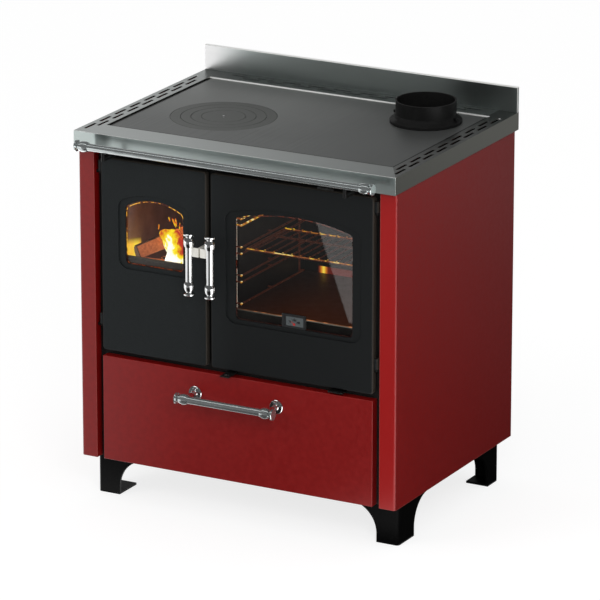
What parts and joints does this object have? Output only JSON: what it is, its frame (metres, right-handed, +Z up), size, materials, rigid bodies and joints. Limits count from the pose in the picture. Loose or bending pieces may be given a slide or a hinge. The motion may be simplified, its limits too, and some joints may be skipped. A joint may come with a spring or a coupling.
{
  "type": "wood-burning cooking stove",
  "caption": "Floor-standing wood-burning range cooker with a hob, a glazed firebox door, a glazed oven door, a wood drawer, a handrail and a rear flue collar.",
  "frame": {"origin": "on the floor, in the middle of the outer box", "axes": "+X to the right seen from the front, +Y to the back, +Z up"},
  "size_m": [0.8, 0.6558, 0.919],
  "materials": {
    "red_enamel": "gloss",
    "black_sheet": "matte",
    "black_iron": "textured matte",
    "brushed_stainless": "brushed",
    "hob_iron": "ground",
    "polished_chrome": "polished",
    "zinc_steel": "satin",
    "oven_steel": "satin",
    "firebrick": "rough",
    "rope_seal": "woven",
    "ceramic_glass": "clear",
    "gauge": "satin"
  },
  "bodies": {
    "stove": {"left_side_panel": "red_enamel", "right_side_panel": "red_enamel", "rear_panel": "black_sheet", "base_plate": "black_sheet", "front_frame": "black_sheet", "worktop_frame": "brushed_stainless", "backsplash": "brushed_stainless", "cooktop_plate": "hob_iron", "cooktop_rope_seal": "rope_seal", "flue_collar": "black_iron", "flue_collar_bolts": "black_iron", "handrail_bar": "polished_chrome", "handrail_posts": "black_iron", "foot_front_left": "black_iron", "foot_front_right": "black_iron", "foot_rear_left": "black_iron", "foot_rear_right": "black_iron", "foot_bolts": "zinc_steel", "panel_screws": "zinc_steel", "heat_shields": "black_sheet", "body_shell": "black_sheet", "firebox_divider": "black_sheet", "grate_shelf": "black_iron", "firebrick_base": "firebrick", "firebrick_sides": "firebrick", "firebrick_rear": "firebrick", "fire_grate": "black_iron", "log_guard": "black_iron", "ash_pan": "zinc_steel", "oven_box": "oven_steel", "oven_guides": "oven_steel", "oven_rack": "oven_steel", "flue_divider": "black_sheet", "slide_guides": "black_sheet", "hinge_brackets": "black_iron", "drawer_runners": "black_sheet"},
    "fire_door": {"fire_door_casting": "black_iron", "fire_door_glass": "ceramic_glass", "fire_door_glass_frame": "zinc_steel", "fire_door_rope_seal": "rope_seal"},
    "fire_door_latch": {"fire_door_handle": "polished_chrome", "fire_door_handle_bar": "polished_chrome"},
    "oven_door": {"oven_door_casting": "black_iron", "oven_door_glass": "ceramic_glass", "oven_door_glass_frame": "zinc_steel", "oven_door_rope_seal": "rope_seal", "oven_thermometer": "gauge"},
    "oven_door_latch": {"oven_door_handle": "polished_chrome", "oven_door_handle_bar": "polished_chrome"},
    "wood_drawer": {"drawer_front": "red_enamel", "drawer_box": "black_sheet", "drawer_handle_bar": "polished_chrome", "drawer_handle_posts": "polished_chrome"},
    "flue_damper": {"damper_lever": "zinc_steel"},
    "air_control": {"air_lever": "zinc_steel"},
    "soot_tray": {"soot_slide": "zinc_steel"},
    "outer_ring": {"hob_ring_outer": "hob_iron"},
    "middle_ring": {"hob_ring_middle": "hob_iron"},
    "inner_ring": {"hob_ring_inner": "hob_iron"},
    "lid": {"hob_lid": "hob_iron"}
  },
  "joints": [
    {"name": "fire_door_hinge", "type": "hinge", "parent": "stove", "child": "fire_door", "pos_m": [-0.344, -0.2487, 0.58], "axis": [0, 0, -1], "range_deg": [0, 100]},
    {"name": "fire_door_latch_lift", "type": "hinge", "parent": "fire_door", "child": "fire_door_latch", "pos_m": [-0.074, -0.2507, 0.6313], "axis": [-1, 0, 0], "range_deg": [0, 20]},
    {"name": "oven_door_hinge", "type": "hinge", "parent": "stove", "child": "oven_door", "pos_m": [0.344, -0.2487, 0.58], "axis": [0, 0, 1], "range_deg": [0, 100]},
    {"name": "oven_door_latch_lift", "type": "hinge", "parent": "oven_door", "child": "oven_door_latch", "pos_m": [-0.0625, -0.2507, 0.6313], "axis": [-1, 0, 0], "range_deg": [0, 20]},
    {"name": "wood_drawer_slide", "type": "slide", "parent": "stove", "child": "wood_drawer", "axis": [0, -1, 0], "range_m": [0, 0.4]},
    {"name": "flue_damper_slide", "type": "slide", "parent": "stove", "child": "flue_damper", "axis": [0, -1, 0], "range_m": [0, 0.045]},
    {"name": "air_control_slide", "type": "slide", "parent": "stove", "child": "air_control", "axis": [0, -1, 0], "range_m": [0, 0.03]},
    {"name": "soot_tray_slide", "type": "slide", "parent": "stove", "child": "soot_tray", "axis": [0, -1, 0], "range_m": [0, 0.1]},
    {"name": "outer_ring_lift", "type": "slide", "parent": "stove", "child": "outer_ring", "axis": [0, 0, 1], "range_m": [0, 0.1]},
    {"name": "middle_ring_lift", "type": "slide", "parent": "outer_ring", "child": "middle_ring", "axis": [0, 0, 1], "range_m": [0, 0.1]},
    {"name": "inner_ring_lift", "type": "slide", "parent": "middle_ring", "child": "inner_ring", "axis": [0, 0, 1], "range_m": [0, 0.1]},
    {"name": "lid_lift", "type": "slide", "parent": "inner_ring", "child": "lid", "axis": [0, 0, 1], "range_m": [0, 0.1]}
  ]
}
